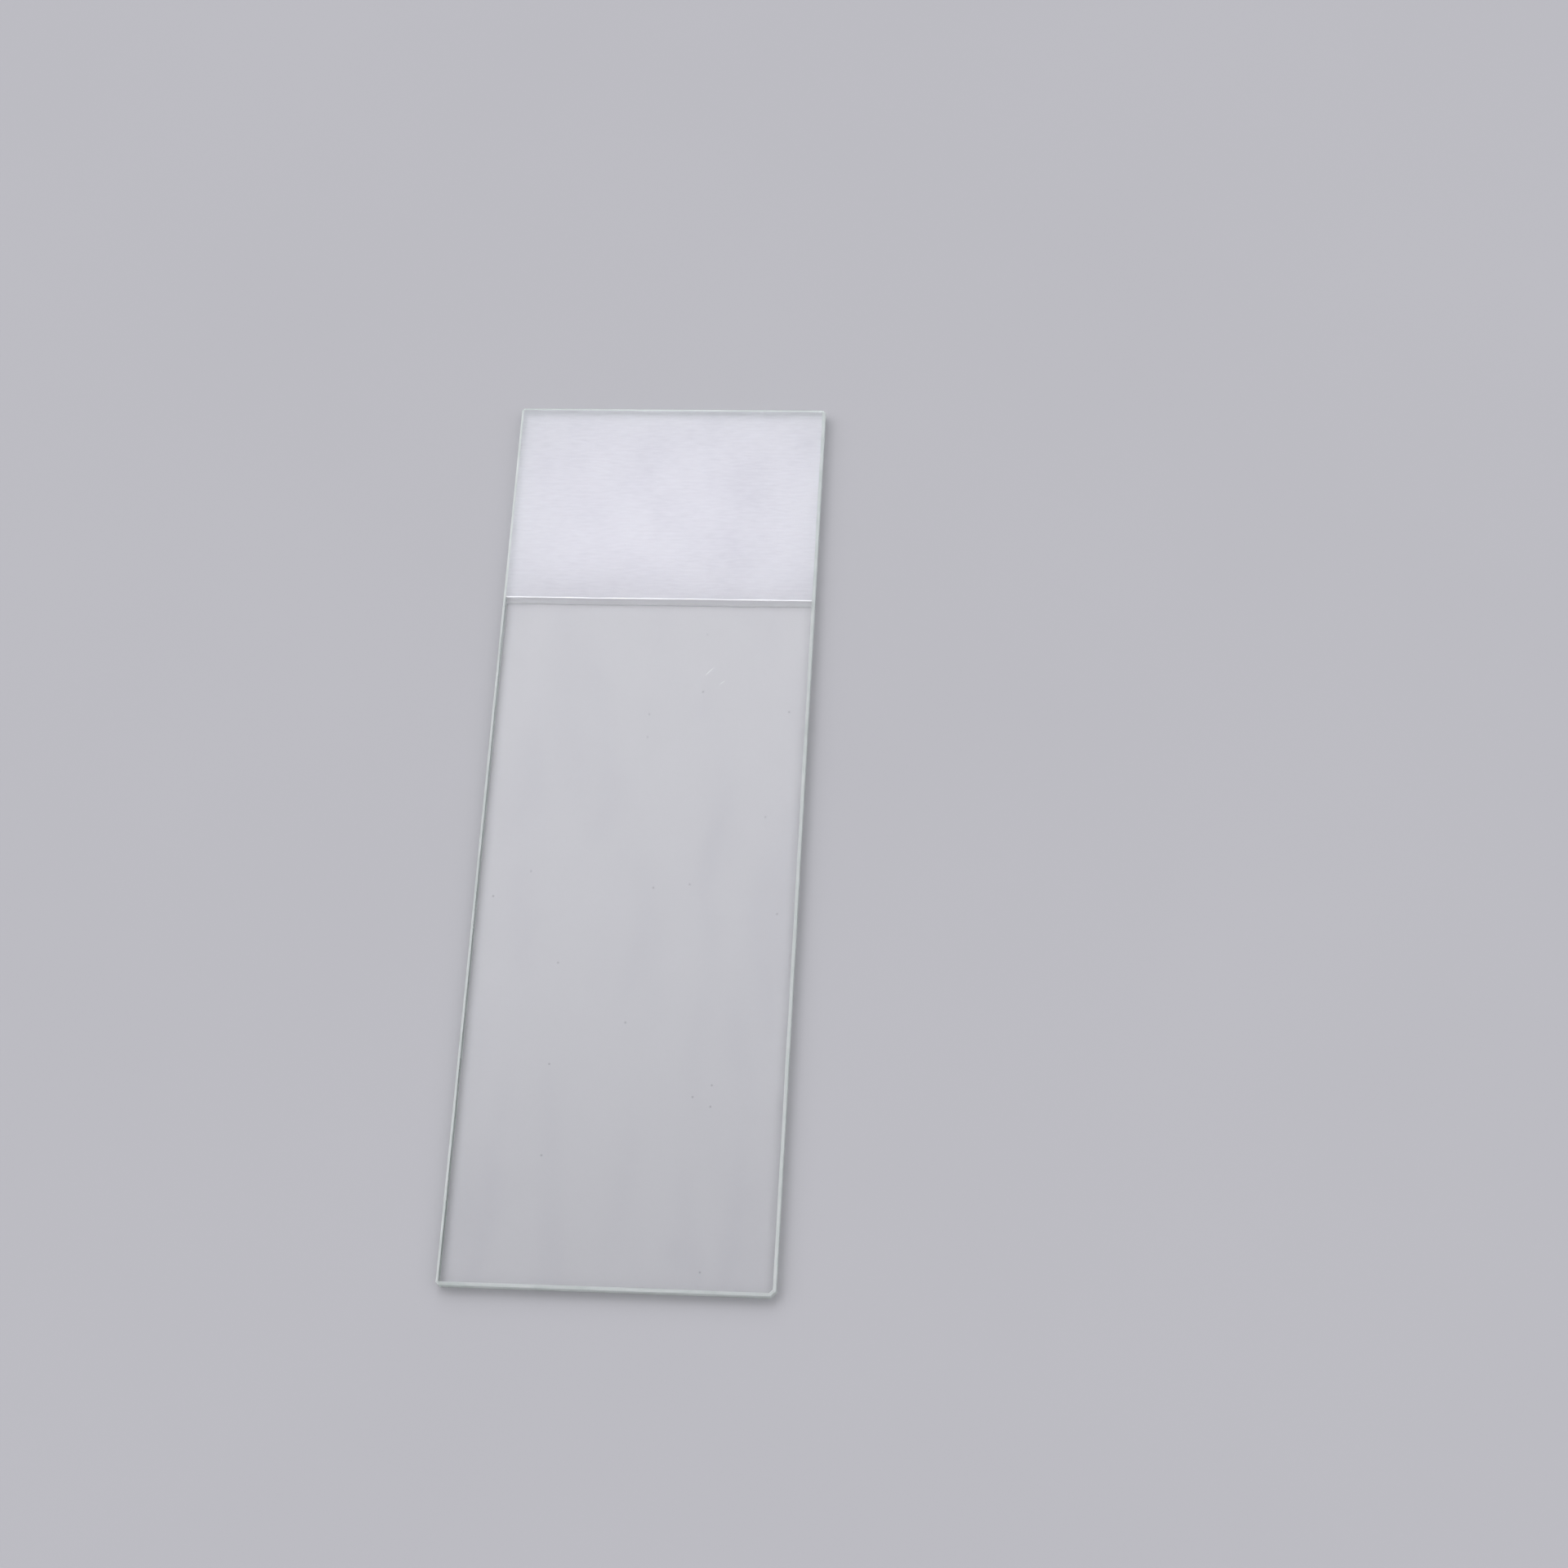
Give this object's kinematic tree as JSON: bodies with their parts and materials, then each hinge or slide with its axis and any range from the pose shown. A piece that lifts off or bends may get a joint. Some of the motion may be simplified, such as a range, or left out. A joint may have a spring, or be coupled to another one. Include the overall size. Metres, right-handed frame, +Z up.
{
  "type": "microscope slide",
  "caption": "Flat rectangular microscope slide of clear glass with ground edges and a frosted end that takes pencil marks.",
  "frame": {"origin": "middle of the underside, where the slide lies", "axes": "+Z up out of the upper face, Y along the length with the frosted end at +Y, X across the width"},
  "size_m": [0.026, 0.076, 0.0011],
  "materials": {
    "slide_glass": "clear polished glass, frosted at one end, with matt ground edges"
  },
  "bodies": {
    "root": {"slide": "slide_glass"}
  },
  "joints": []
}
